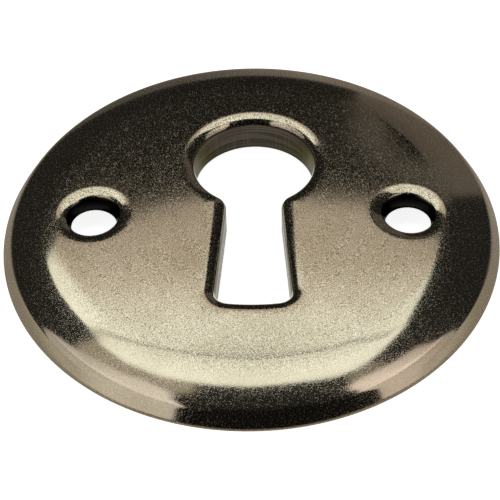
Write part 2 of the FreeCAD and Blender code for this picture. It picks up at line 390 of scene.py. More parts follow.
@dataclass
class Plate:
    """The escutcheon itself: domed skin, keyhole with its collar, and two countersunk holes.

    Lengths are in millimetres. The heights are over the table.

    Args:
        diameter: Outside diameter on the table.
        height: Height of the crown.
        crown: Rise of the face from its corner to its centre.
        band_width: Width in plan of the sloping band.
        band_radius: Radius of the band's bulge in section.
        edge_height: Height of the corner between band and edge.
        edge_run: How far the steep edge leans in.
        shoulder_round: Rounding where the face bends into the band.
        rim_round: Rounding where the band bends into the edge.
        hollow_depth: Height of the hollow's ceiling.
        hollow_slope: Lean of the hollow's side, in degrees.
        land_width: Width of the ring that rests on the furniture.
        keyhole: The keyhole's outline.
        lip_round: Wide rounding at the start of the keyhole's upper edge.
        lip_bend: Tighter rounding where that edge turns down.
        lip_turn: Slope at which the wide rounding gives way to the tighter one, in degrees.
        collar_wall: Thickness of the collar round the keyhole.
        collar_neck: Rounding of the collar's outside at the neck.
        screw_place: Distance of the screw holes from the centre.
        screw_radius: Radius of the screw holes.
        mouth_radius: Radius of a screw hole's wide mouth in the face.
        throat_radius: Radius at which the mouth turns down.
        throat_slope: Slope of the mouth there, in degrees.
        throat_bend: Rounding of the turn.
        throat_steep: Slope at the end of the turn, in degrees.
        soft_edge: Small rounding of the cast edges at the back.
        fill_gap: Least gap between the skin and the lips, before a fill joins them.
        around: Number of steps round the plate.
    """

    diameter: float = 35.0
    height: float = 3.0
    crown: float = 0.58
    band_width: float = 2.88
    band_radius: float = 15.2
    edge_height: float = 1.22
    edge_run: float = 0.70
    shoulder_round: float = 5.7
    rim_round: float = 1.07
    hollow_depth: float = 1.3
    hollow_slope: float = 22.5
    land_width: float = 1.4
    keyhole: Keyhole = field(default_factory=Keyhole)
    lip_round: float = 1.5
    lip_bend: float = 0.66
    lip_turn: float = 25.0
    collar_wall: float = 1.1
    collar_neck: float = 0.8
    screw_place: float = 11.0
    screw_radius: float = 1.6
    mouth_radius: float = 2.78
    throat_radius: float = 1.95
    throat_slope: float = 27.0
    throat_bend: float = 0.35
    throat_steep: float = 72.0
    soft_edge: float = 0.1
    fill_gap: float = 0.25
    around: int = 288

    def __post_init__(self) -> None:
        """Works out the circles and joints of the outer section."""
        self.rim = Vector((self.diameter / 2, 0))
        self.edge_corner = self.rim + Vector((-self.edge_run, self.edge_height))
        face_corner = Vector((self.edge_corner.x - self.band_width, self.height - self.crown))
        face_radius = (face_corner.x**2 + self.crown**2) / (2 * self.crown)
        self.face = Circle(Vector((0, self.height - face_radius)), face_radius)
        self.band = circle_through(self.edge_corner, face_corner, self.band_radius)
        self.shoulder = nested_circle(self.face, self.band, self.shoulder_round, face_corner)
        up_edge = (self.edge_corner - self.rim).normalized()
        self.rim_bend = corner_circle(self.edge_corner, up_edge, self.band, self.rim_round)
        self.edge_end = self.rim + up_edge * (self.rim_bend.centre - self.rim).dot(up_edge)
        self.rim_end = self.band.touch(self.rim_bend)
        self.band_end = self.band.touch(self.shoulder)
        self.shoulder_end = self.face.touch(self.shoulder)

    def surface(self, reach: float) -> float:
        """Height of the outer skin.

        Args:
            reach: Distance from the plate's axis.

        Returns:
            The height over the table.
        """
        if reach <= self.shoulder_end.x:
            return self.face.height(reach)
        if reach <= self.band_end.x:
            return self.shoulder.height(reach)
        return self.band.height(reach)

    def make_skin(self) -> bpy.types.Object:
        """Spins the half section into the outer skin, the land and the hollow's side.

        Returns:
            The skin, open in the middle of the face.
        """
        slope = math.radians(self.hollow_slope)
        foot = self.rim - Vector((self.land_width, 0))
        side_top = foot + Vector((-1 / math.tan(slope), 1)) * self.hollow_depth
        open_radius = 1.2
        inner = Vector((open_radius, self.face.height(open_radius)))

        pen = Pen("skin", Plane.SECTION, side_top)
        pen.line(foot, 6)
        pen.line(self.rim)
        pen.line(self.edge_end, 3)
        pen.arc(self.rim_bend.centre, self.rim_end, 10)
        pen.arc(self.band.centre, self.band_end, 10)
        pen.arc(self.shoulder.centre, self.shoulder_end, 8)
        pen.arc(self.face.centre, inner, 34)
        skin = pen.lift()
        self.soften_corners(skin, [foot, self.rim])
        edit(skin)
        bpy.ops.mesh.select_all(action="SELECT")
        bpy.ops.mesh.spin(
            steps=self.around, angle=math.tau, center=(0, 0, 0), axis=Plane.PLAN.value
        )
        bpy.ops.mesh.select_all(action="SELECT")
        bpy.ops.mesh.remove_doubles(threshold=0.0005)
        bpy.ops.object.mode_set(mode="OBJECT")
        return skin

    def soften_corners(self, skin: bpy.types.Object, corners: list[Vector]) -> None:
        """Takes the sharp corners off the half section.

        Args:
            skin: The half section, as a chain of edges.
            corners: The corners, as points of the section.
        """
        for vertex in skin.data.vertices:
            place = Vector((vertex.co.x, vertex.co.z))
            vertex.select = any((place - corner).length < 0.001 for corner in corners)
        bpy.ops.object.mode_set(mode="EDIT")
        bpy.ops.mesh.bevel(offset=self.soft_edge, segments=3, affect="VERTICES")
        bpy.ops.object.mode_set(mode="OBJECT")

    def open_holes(self, skin: bpy.types.Object) -> None:
        """Deletes the skin's faces over the holes, and a little beyond them.

        Args:
            skin: The outer skin.
        """
        lip = self.keyhole.grown(self.lip_profile()[-1].x, self.keyhole.neck)

        def over_hole(place: Vector) -> bool:
            """Whether a point of the face lies over a hole or too close to it.

            Args:
                place: The point.

            Returns:
                True where the skin gives way.
            """
            if place.z < self.hollow_depth + 0.1 or place.length > self.edge_corner.x:
                return False
            if lip.covers(place, self.fill_gap):
                return True
            offset = Vector((abs(place.x) - self.screw_place, place.y))
            return offset.length < self.mouth_radius + self.fill_gap

        marks = [over_hole(vertex.co) for vertex in skin.data.vertices]
        edit(skin)
        bpy.ops.mesh.select_mode(type="FACE")
        bpy.ops.object.mode_set(mode="OBJECT")
        for face in skin.data.polygons:
            face.select = any(marks[index] for index in face.vertices)
        bpy.ops.object.mode_set(mode="EDIT")
        bpy.ops.mesh.delete(type="FACE")
        bpy.ops.mesh.select_mode(type="VERT")
        bpy.ops.object.mode_set(mode="OBJECT")

    def lip_profile(self) -> list[Vector]:
        """Section of the keyhole's lip.

        Returns:
            Points of distance and depth, from the face inwards and down to the wall.
        """
        turn = math.radians(self.lip_turn)
        profile = [
            Vector((math.sin(angle), math.cos(angle) - 1)) * self.lip_round
            for angle in (turn * row / LIP_ROWS for row in range(LIP_ROWS + 1))
        ]
        start = profile[-1]
        for row in range(1, BEND_ROWS + 1):
            angle = turn + (math.pi / 2 - turn) * row / BEND_ROWS
            bend = Vector((math.sin(angle) - math.sin(turn), math.cos(angle) - math.cos(turn)))
            profile.append(start + bend * self.lip_bend)
        return profile

    def make_keyhole(self) -> bpy.types.Object:
        """Makes the keyhole's rounded lip and the wall that runs down to the table.

        Returns:
            The lip with its wall.
        """
        profile = self.lip_profile()
        reach = profile[-1].x
        lip = self.keyhole.grown(reach, self.keyhole.neck - reach)
        hole = lip.draw("keyhole_wall")
        edit(hole)
        bpy.ops.mesh.select_all(action="SELECT")
        bpy.ops.mesh.edge_face_add()
        self.face_up(hole)
        for before, after in zip(profile, profile[1:]):
            bpy.ops.mesh.inset(
                thickness=after.x - before.x, depth=after.y - before.y, use_even_offset=True
            )
        bpy.ops.object.mode_set(mode="OBJECT")
        for vertex in hole.data.vertices:
            vertex.co.z += self.surface(vertex.co.to_2d().length)
        edit(hole)
        return self.run_down(hole, 0)

    def face_up(self, thing: bpy.types.Object) -> None:
        """Turns an object's only face upwards, and leaves it selected.

        Args:
            thing: The object, in edit mode.
        """
        bpy.ops.object.mode_set(mode="OBJECT")
        upwards = thing.data.polygons[0].normal.z > 0
        bpy.ops.object.mode_set(mode="EDIT")
        bpy.ops.mesh.select_all(action="SELECT")
        if not upwards:
            bpy.ops.mesh.flip_normals()

    def run_down(self, hole: bpy.types.Object, level: float) -> bpy.types.Object:
        """Extrudes a hole's inmost face down to a level and takes the face away.

        Args:
            hole: The object, in edit mode.
            level: The height at which the wall ends.

        Returns:
            The same object, in object mode.
        """
        bpy.ops.object.mode_set(mode="OBJECT")
        floor = max(hole.data.polygons, key=lambda face: len(face.vertices))
        for face in hole.data.polygons:
            face.select = face.index == floor.index
        bpy.ops.object.mode_set(mode="EDIT")
        bpy.ops.mesh.select_mode(type="FACE")
        bpy.ops.mesh.extrude_region_move(TRANSFORM_OT_translate={"value": (0, 0, -0.1)})
        bpy.ops.transform.resize(value=(1, 1, 0), center_override=(0, 0, level))
        bpy.ops.mesh.delete(type="FACE")
        bpy.ops.mesh.select_mode(type="VERT")
        bpy.ops.object.mode_set(mode="OBJECT")
        return hole

    def sink_rows(self, offset: Vector) -> list[Vector]:
        """Section of a screw hole's mouth in one direction from its axis.

        Args:
            offset: A direction in plan, where +x points away from the plate's centre.

        Returns:
            Points of distance from the hole's axis and height, from the face inwards.
        """
        direction = offset.normalized() if offset.length else Vector((1, 0))
        base = Vector((self.screw_place, 0))

        def face_height(reach: float) -> float:
            """Height of the face at a distance from the hole's axis."""
            return self.surface((base + direction * reach).length)

        mouth = self.mouth_radius
        step = 0.05
        slope = math.atan((face_height(mouth + step) - face_height(mouth - step)) / (2 * step))
        turned = math.radians(self.throat_slope)
        radius = (mouth - self.throat_radius) / (math.sin(turned) - math.sin(slope))
        place = Vector((mouth, face_height(mouth)))
        rows = [place]
        steep = math.radians(self.throat_steep)
        turns = ((radius, turned, MOUTH_ROWS), (self.throat_bend, steep, THROAT_ROWS))
        for bend, last, count in turns:
            turn = (last - slope) / count
            for _ in range(count):
                after = slope + turn
                place = place - bend * Vector(
                    (math.sin(after) - math.sin(slope), math.cos(slope) - math.cos(after))
                )
                rows.append(place)
                slope = after
        foot = Vector((self.screw_radius, place.y - (place.x - self.screw_radius) * math.tan(slope)))
        return rows + [place.lerp(foot, row / BORE_ROWS) for row in range(1, BORE_ROWS + 1)]

    def make_screw_hole(self, side: int) -> bpy.types.Object:
        """Makes one screw hole with its countersink.

        Args:
            side: 1 for the hole at +X, -1 for the one at -X.

        Returns:
            The hole's wall, from the face down to the hollow's ceiling.
        """
        count = len(self.sink_rows(Vector((1, 0))))
        widest = self.screw_radius + count
        bpy.ops.object.select_all(action="DESELECT")
        bpy.ops.mesh.primitive_circle_add(
            vertices=112, radius=widest, fill_type="NGON", location=(0, 0, 0)
        )
        hole = bpy.context.object
        hole.name = "screw_hole_right" if side > 0 else "screw_hole_left"
        edit(hole)
        self.face_up(hole)
        for _ in range(count - 1):
            bpy.ops.mesh.inset(thickness=1, depth=0, use_even_offset=True)
        bpy.ops.object.mode_set(mode="OBJECT")
        for vertex in hole.data.vertices:
            offset = vertex.co.to_2d()
            row = round(widest - offset.length)
            spot = self.sink_rows(offset)[min(row, count - 1)]
            across = offset.normalized() * spot.x
            vertex.co = (side * (self.screw_place + across.x), across.y, spot.y)
        edit(hole)
        return self.run_down(hole, self.hollow_depth)

    def make_collar(self) -> bpy.types.Object:
        """Makes the collar's outside, from the hollow's ceiling down to the table.

        Returns:
            The collar's outside.
        """
        root = 0.3
        rows = 4
        outline = self.keyhole.grown(self.collar_wall + root, self.collar_neck - root)
        collar = outline.draw("collar")
        edit(collar)
        bpy.ops.mesh.select_all(action="SELECT")
        bpy.ops.mesh.edge_face_add()
        self.face_up(collar)
        bpy.ops.transform.translate(value=(0, 0, self.hollow_depth))
        angles = [math.pi / 2 * row / rows for row in range(rows + 1)]
        for before, after in zip(angles, angles[1:]):
            bpy.ops.mesh.inset(
                thickness=root * (math.sin(after) - math.sin(before)),
                depth=root * (math.cos(after) - math.cos(before)),
                use_even_offset=True,
            )
        return self.run_down(collar, 0)

    def open_edges(self, plate: bpy.types.Object) -> list[int]:
        """Finds the edges that have a face on one side only.

        Args:
            plate: The joined plate.

        Returns:
            The edges' numbers.
        """
        counts: dict[tuple[int, int], int] = {}
        for face in plate.data.polygons:
            for key in face.edge_keys:
                counts[key] = counts.get(key, 0) + 1
        return [edge.index for edge in plate.data.edges if counts.get(edge.key, 0) == 1]

    def close(self, plate: bpy.types.Object, wanted: Callable[[Vector], bool]) -> None:
        """Closes a gap between open edges.

        Args:
            plate: The joined plate.
            wanted: Tells whether an edge with an end at a place belongs to the gap.
        """
        opened = set(self.open_edges(plate))
        edit(plate)
        bpy.ops.mesh.select_mode(type="EDGE")
        bpy.ops.object.mode_set(mode="OBJECT")
        places = [vertex.co for vertex in plate.data.vertices]
        for edge in plate.data.edges:
            ends_fit = all(wanted(places[index]) for index in edge.vertices)
            edge.select = ends_fit and edge.index in opened
        bpy.ops.object.mode_set(mode="EDIT")
        bpy.ops.mesh.fill(use_beauty=True)
        bpy.ops.mesh.select_mode(type="VERT")
        bpy.ops.object.mode_set(mode="OBJECT")

    def soften(self, plate: bpy.types.Object, wanted: Callable[[Vector], bool]) -> None:
        """Takes the sharpness off some of the edges.

        Args:
            plate: The joined plate.
            wanted: Tells whether a sharp edge with an end at a place is softened.
        """
        edit(plate)
        bpy.ops.mesh.select_mode(type="EDGE")
        bpy.ops.mesh.edges_select_sharp(sharpness=math.radians(60))
        bpy.ops.object.mode_set(mode="OBJECT")
        places = [vertex.co for vertex in plate.data.vertices]
        for edge in plate.data.edges:
            fits = all(wanted(places[index]) for index in edge.vertices)
            edge.select = edge.select and fits
        bpy.ops.object.mode_set(mode="EDIT")
        bpy.ops.mesh.bevel(offset=self.soft_edge, segments=2, affect="EDGES")
        bpy.ops.mesh.select_mode(type="VERT")
        bpy.ops.object.mode_set(mode="OBJECT")

    def build(self) -> bpy.types.Object:
        """Makes all parts of the plate, closes the gaps between them and brings it to metres.

        Returns:
            The finished mesh object, at the origin.
        """
        skin = self.make_skin()
        self.open_holes(skin)
        parts = [skin, self.make_keyhole(), self.make_collar()]
        parts += [self.make_screw_hole(side) for side in (1, -1)]
        plate = join(parts, "plate_of_antique_brass")

        def on_face(place: Vector) -> bool:
            """Whether a point belongs to the face and not to the back."""
            return place.z > (self.hollow_depth + self.height) / 2

        middle = (self.keyhole.bow_radius + self.screw_place) / 2 - 1
        self.close(plate, lambda place: on_face(place) and abs(place.x) < middle)
        self.close(plate, lambda place: on_face(place) and place.x > middle)
        self.close(plate, lambda place: on_face(place) and place.x < -middle)
        self.close(plate, lambda place: place.z > self.hollow_depth / 2)
        self.close(plate, lambda place: place.z < self.hollow_depth / 2)
        edit(plate)
        bpy.ops.mesh.select_all(action="SELECT")
        bpy.ops.mesh.remove_doubles(threshold=0.0005)
        bpy.ops.mesh.select_all(action="SELECT")
        bpy.ops.mesh.normals_make_consistent(inside=False)
        bpy.ops.object.mode_set(mode="OBJECT")
        inner = self.rim.x - self.land_width - 1
        self.soften(plate, lambda place: place.z < 0.01 and place.length < inner)
        self.soften(
            plate, lambda place: abs(place.z - self.hollow_depth) < 0.01 and abs(place.x) > middle
        )
        edit(plate)
        bpy.ops.mesh.select_all(action="SELECT")
        bpy.ops.transform.resize(value=(MM, MM, MM), center_override=(0, 0, 0))
        bpy.ops.object.mode_set(mode="OBJECT")
        bpy.ops.object.shade_smooth_by_angle(angle=math.radians(32))
        self.paint_polish_and_bore_shade(plate)
        return plate

    def paint_polish_and_bore_shade(self, plate: bpy.types.Object) -> None:
        """Marks how polished each point is: all of the outside, and nothing in holes and back. Deep
        in the screw holes the mark also paints their shade.

        Args:
            plate: The finished mesh, in metres.
        """
        wall_polish = 0.2
        back_polish = 0.3
        polish_depth = 0.35
        fade_depth = 0.3
        bore_shade_fade = 0.06
        polish_and_bore_shade = plate.data.attributes.new("polish_and_bore_shade", "FLOAT", "POINT")
        for vertex in plate.data.vertices:
            place = vertex.co / MM
            reach = place.to_2d().length
            drop = self.surface(min(reach, self.edge_corner.x)) - place.z
            offset = Vector((abs(place.x) - self.screw_place, place.y))
            if reach > self.edge_corner.x - 0.2:
                value = 1.0
            elif reach > self.rim.x - self.land_width - 1 and place.z < self.hollow_depth:
                value = back_polish
            # Painted shade: below a screw hole's throat the mark falls to 0, which the material
            # turns near-black
            elif offset.length < self.throat_radius + 0.01:
                throat_drop = self.sink_rows(offset)[MOUTH_ROWS].y - place.z
                value = max(0.0, min(1.0, 1 - throat_drop / bore_shade_fade))
            else:
                value = max(wall_polish, min(1.0, 1 - (drop - polish_depth) / fade_depth))
            polish_and_bore_shade.data[vertex.index].value = value


@dataclass(frozen=True)
class AntiqueBrass:
    """Darkened brass with a fine cast grain, paler where hands have worn it, and painted shade deep
    in the screw holes.

    Colours are linear. Lengths are in millimetres.

    Args:
        worn: Colour of the worn metal.
        aged: Colour where the patina is thick.
        speck: Share of each colour channel that is left in the grain's dark specks.
        brown: Colour of the rough patina on the keyhole's wall and at the back.
        groove: Colour of that patina in its grooves.
        streak: Colour of its pale streaks.
        bore_shade: Near-black colour deep in the screw holes, painted shade of the bores.
        brown_edge: Tint of the rough patina's reflections at a low angle.
        bore_shade_edge: Tint of the bores' reflections at a low angle, kept dark as painted shade.
        roughness: Spread of the polished metal's gloss.
        raw_roughness: Spread of the cast surface's gloss.
        pit_roughness: What the deepest pits add to either.
        grain: Size of the cast grain.
        grain_depth: Height of the cast grain.
        cloud: Size of the patina's clouds.
        groove_width: Width of the grooves that run round the keyhole's wall.
        streak_width: Width of the streaks that run down it.
        rubbed_from: Distance from the plate's axis from which the specks are rubbed away.
        rubbed_to: Distance at which fewest are left.
        rubbed_specks: Share of the specks that is left there.
    """

    worn: tuple[float, float, float] = (0.82, 0.766, 0.571)
    aged: tuple[float, float, float] = (0.732, 0.675, 0.48)
    speck: tuple[float, float, float] = (0.28, 0.275, 0.27)
    brown: tuple[float, float, float] = (0.066, 0.056, 0.042)
    groove: tuple[float, float, float] = (0.032, 0.027, 0.021)
    streak: tuple[float, float, float] = (0.09, 0.082, 0.066)
    # Painted shade: near-black colour for the screw holes' bores below their throats
    bore_shade: tuple[float, float, float] = (0.011, 0.010, 0.009)
    brown_edge: tuple[float, float, float] = (0.55, 0.54, 0.45)
    # Painted shade: keeps the bores' low-angle reflections dark as well
    bore_shade_edge: tuple[float, float, float] = (0.1, 0.09, 0.08)
    roughness: float = 0.065
    raw_roughness: float = 0.2
    pit_roughness: float = 0.27
    grain: float = 0.064
    grain_depth: float = 0.0012
    cloud: float = 3.0
    groove_width: float = 0.16
    streak_width: float = 0.12
    rubbed_from: float = 13.4
    rubbed_to: float = 15.0
    rubbed_specks: float = 0.45

    def noise(
        self, tree: bpy.types.NodeTree, size: float, detail: float, where: bpy.types.NodeSocket
    ) -> bpy.types.NodeSocket:
        """Adds a noise.

        Args:
            tree: The material's nodes.
            size: Grain size.
            detail: How many finer noises lie on top of it.
            where: The coordinates.

        Returns:
            The noise's value.
        """
        node = tree.nodes.new("ShaderNodeTexNoise")
        node.inputs["Scale"].default_value = 1 / (size * MM)
        node.inputs["Detail"].default_value = detail
        tree.links.new(where, node.inputs["Vector"])
        return node.outputs["Fac"]

    def stretch(
        self,
        tree: bpy.types.NodeTree,
        where: bpy.types.NodeSocket,
        scale: tuple[float, float, float],
    ) -> bpy.types.NodeSocket:
        """Scales coordinates, which draws a pattern out along the axes with a small scale.

        Args:
            tree: The material's nodes.
            where: The coordinates.
            scale: The scale along each axis.

        Returns:
            The scaled coordinates.
        """
        node = tree.nodes.new("ShaderNodeMapping")
        node.inputs["Scale"].default_value = scale
        tree.links.new(where, node.inputs["Vector"])
        return node.outputs["Vector"]

    def spread(
        self,
        tree: bpy.types.NodeTree,
        value: bpy.types.NodeSocket,
        source: tuple[float, float],
        target: tuple[float, float],
    ) -> bpy.types.NodeSocket:
        """Maps a value from one range to another, without going past its ends.

        Args:
            tree: The material's nodes.
            value: The value.
            source: The range that it comes from.
            target: The range that it goes to.

        Returns:
            The new value.
        """
        node = tree.nodes.new("ShaderNodeMapRange")
        node.inputs["From Min"].default_value = source[0]
        node.inputs["From Max"].default_value = source[1]
        node.inputs["To Min"].default_value = target[0]
        node.inputs["To Max"].default_value = target[1]
        tree.links.new(value, node.inputs["Value"])
        return node.outputs["Result"]

    def combine(
        self,
        tree: bpy.types.NodeTree,
        operation: str,
        first: bpy.types.NodeSocket,
        second: bpy.types.NodeSocket,
    ) -> bpy.types.NodeSocket:
        """Adds or multiplies two values, and keeps the result between 0 and 1.

        Args:
            tree: The material's nodes.
            operation: ADD or MULTIPLY.
            first: The first value.
            second: The second value.

        Returns:
            The result.
        """
        node = tree.nodes.new("ShaderNodeMath")
        node.operation = operation
        node.use_clamp = True
        tree.links.new(first, node.inputs[0])
        tree.links.new(second, node.inputs[1])
        return node.outputs[0]

    def blend(
        self,
        tree: bpy.types.NodeTree,
        share: bpy.types.NodeSocket,
        first: bpy.types.NodeSocket | tuple[float, float, float],
        second: bpy.types.NodeSocket | tuple[float, float, float],
        mode: str = "MIX",
    ) -> bpy.types.NodeSocket:
        """Mixes two colours.

        Args:
            tree: The material's nodes.
            share: How much of the second colour there is.
            first: The first colour, as a socket or a fixed colour.
            second: The second colour, likewise.
            mode: How the second colour goes over the first.

        Returns:
            The mixed colour.
        """
        node = tree.nodes.new("ShaderNodeMix")
        node.data_type = "RGBA"
        node.blend_type = mode
        tree.links.new(share, node.inputs["Factor"])
        for name, colour in (("A", first), ("B", second)):
            socket = next(
                item for item in node.inputs if item.name == name and item.type == "RGBA"
            )
            if isinstance(colour, tuple):
                socket.default_value = (*colour, 1)
            else:
                tree.links.new(colour, socket)
        return next(item for item in node.outputs if item.type == "RGBA")

    def face_colour(
        self,
        tree: bpy.types.NodeTree,
        place: bpy.types.NodeSocket,
        grain: bpy.types.NodeSocket,
    ) -> bpy.types.NodeSocket:
        """Colour of the outside: clouds of patina with dark specks, fewer on the band.

        Args:
            tree: The material's nodes.
            place: Object coordinates.
            grain: The cast grain's value.

        Returns:
            The colour.
        """
        clouds = self.noise(tree, self.cloud, 6, place)
        patina = self.spread(tree, clouds, (0.35, 0.7), (0, 1))
        metal = self.blend(tree, patina, self.worn, self.aged)
        reach = tree.nodes.new("ShaderNodeVectorMath")
        reach.operation = "LENGTH"
        tree.links.new(self.stretch(tree, place, (1.0, 1.0, 0.0)), reach.inputs[0])
        band = (self.rubbed_from * MM, self.rubbed_to * MM)
        rubbed = self.spread(tree, reach.outputs["Value"], band, (1, self.rubbed_specks))
        specks = self.spread(tree, grain, (0.38, 0.62), (1, 0))
        share = self.combine(tree, "MULTIPLY", specks, rubbed)
        return self.blend(tree, share, metal, self.speck, "MULTIPLY")

    def wall_colour(
        self, tree: bpy.types.NodeTree, place: bpy.types.NodeSocket
    ) -> bpy.types.NodeSocket:
        """Colour of the keyhole's wall and the back: brown, with grooves and pale streaks.

        Args:
            tree: The material's nodes.
            place: Object coordinates.

        Returns:
            The colour.
        """
        level = self.stretch(tree, place, (0.03, 0.03, 1.0))
        rings = self.noise(tree, self.groove_width, 2, level)
        grooves = self.spread(tree, rings, (0.38, 0.6), (0, 1))
        brown = self.blend(tree, grooves, self.brown, self.groove)
        upright = self.stretch(tree, place, (1.0, 1.0, 0.06))
        drawn = self.noise(tree, self.streak_width, 2, upright)
        streaks = self.spread(tree, drawn, (0.5, 0.8), (0, 0.45))
        return self.blend(tree, streaks, brown, self.streak)

    def make(self) -> bpy.types.Material:
        """Builds the material.

        Returns:
            The material, reading Object coordinates and the plate's own attribute for how polished
            it is, which also paints the screw holes' shade.
        """
        material = bpy.data.materials.new("antique_brass")
        material.use_nodes = True
        tree = material.node_tree
        shader = tree.nodes["Principled BSDF"]
        shader.inputs["Metallic"].default_value = 1.0
        place = tree.nodes.new("ShaderNodeTexCoord").outputs["Object"]
        polish_and_bore_shade = tree.nodes.new("ShaderNodeAttribute")
        polish_and_bore_shade.attribute_name = "polish_and_bore_shade"
        polished = polish_and_bore_shade.outputs["Fac"]
        grain = self.noise(tree, self.grain, 1, place)

        # Painted shade: where the mark is under 0.2, deep in the screw holes, the colour turns
        # near-black
        deepest = self.spread(tree, polished, (0, 0.2), (1, 0))
        deep = self.blend(tree, deepest, self.wall_colour(tree, place), self.bore_shade)
        outside = self.spread(tree, polished, (0.3, 1), (0, 1))
        colour = self.blend(tree, outside, deep, self.face_colour(tree, place, grain))
        tree.links.new(colour, shader.inputs["Base Color"])

        smooth = self.spread(tree, polished, (0.3, 0.8), (0, 1))
        edge = self.blend(tree, smooth, self.brown_edge, (1.0, 1.0, 1.0))
        # Painted shade of the bores also darkens their low-angle reflections
        edge = self.blend(tree, deepest, edge, self.bore_shade_edge)
        tree.links.new(edge, shader.inputs["Specular Tint"])

        gloss = self.spread(tree, polished, (0.2, 0.8), (self.raw_roughness, self.roughness))
        pits = self.spread(tree, grain, (0.54, 0.72), (0, self.pit_roughness))
        tree.links.new(self.combine(tree, "ADD", gloss, pits), shader.inputs["Roughness"])
        bump = tree.nodes.new("ShaderNodeBump")
        bump.inputs["Distance"].default_value = self.grain_depth * MM
        tree.links.new(grain, bump.inputs["Height"])
        tree.links.new(bump.outputs["Normal"], shader.inputs["Normal"])
        return material


@dataclass(frozen=True)
class Card:
    """A soft light, or a dark card, that hangs round the escutcheon.

    Its corners are directions as they look from the plate, each by how many degrees it leans to
    the right and to the back from straight up.

    Args:
        name: The light's name.
        corners: The directions of the corners, in order.
        glow: Radiance, where 1 is white.
        back_glow: Radiance towards the back, where it differs.
        tint: Linear colour.
        back_tint: Linear colour towards the back, where it differs.
        fade: Leans to the back between which glow and colour change, in degrees.
        distance: Distance in metres.
    """

    name: str
    corners: tuple[tuple[float, float], ...]
    glow: float
    back_glow: float | None = None
    tint: tuple[float, float, float] = (1.0, 1.0, 1.0)
    back_tint: tuple[float, float, float] | None = None
    fade: tuple[float, float] = (0.0, 30.0)
    distance: float = 1.0

    def corner_place(self, right: float, back: float) -> Vector:
        """Where a corner hangs.

        Args:
            right: How far its direction leans to the right, in degrees.
            back: How far it leans to the back, in degrees.

        Returns:
            The place in metres.
        """
        lean = math.radians(math.hypot(right, back))
        bearing = math.atan2(right, back)
        return self.distance * Vector(
            (
                math.sin(lean) * math.sin(bearing),
                math.sin(lean) * math.cos(bearing),
                math.cos(lean),
            )
        )

    def finish(self) -> bpy.types.Material:
        """The card's glow, which changes from its front side to its back side.

        Returns:
            The material, reading Object coordinates.
        """
        back_glow = self.glow if self.back_glow is None else self.back_glow
        back_tint = self.back_tint or self.tint
        material = bpy.data.materials.new(self.name)
        material.use_nodes = True
        tree = material.node_tree
        tree.nodes.clear()
        place = tree.nodes.new("ShaderNodeTexCoord")
        unit = tree.nodes.new("ShaderNodeVectorMath")
        unit.operation = "NORMALIZE"
        tree.links.new(place.outputs["Object"], unit.inputs[0])
        split = tree.nodes.new("ShaderNodeSeparateXYZ")
        tree.links.new(unit.outputs["Vector"], split.inputs["Vector"])
        fade = tree.nodes.new("ShaderNodeMapRange")
        fade.interpolation_type = "SMOOTHSTEP"
        fade.inputs["From Min"].default_value = math.sin(math.radians(self.fade[0]))
        fade.inputs["From Max"].default_value = math.sin(math.radians(self.fade[1]))
        tree.links.new(split.outputs["Y"], fade.inputs["Value"])
        strength = tree.nodes.new("ShaderNodeMapRange")
        strength.inputs["To Min"].default_value = self.glow
        strength.inputs["To Max"].default_value = back_glow
        tree.links.new(fade.outputs["Result"], strength.inputs["Value"])
        colour = tree.nodes.new("ShaderNodeMixRGB")
        colour.inputs["Color1"].default_value = (*self.tint, 1)
        colour.inputs["Color2"].default_value = (*back_tint, 1)
        tree.links.new(fade.outputs["Result"], colour.inputs["Fac"])
        glow = tree.nodes.new("ShaderNodeEmission")
        tree.links.new(colour.outputs["Color"], glow.inputs["Color"])
        tree.links.new(strength.outputs["Result"], glow.inputs["Strength"])
        output = tree.nodes.new("ShaderNodeOutputMaterial")
        tree.links.new(glow.outputs["Emission"], output.inputs["Surface"])
        return material

    def hang(self) -> bpy.types.Object:
        """Hangs the card.

        Returns:
            Its object, which the camera doesn't see.
        """
        places = [self.corner_place(right, back) for right, back in self.corners]
        bpy.ops.object.select_all(action="DESELECT")
        bpy.ops.mesh.primitive_circle_add(vertices=len(places), fill_type="NGON")
        card = bpy.context.object
        card.name = self.name
        for vertex, place in zip(card.data.vertices, places):
            vertex.co = place
        card.data.materials.append(self.finish())
        card.visible_camera = False
        return card


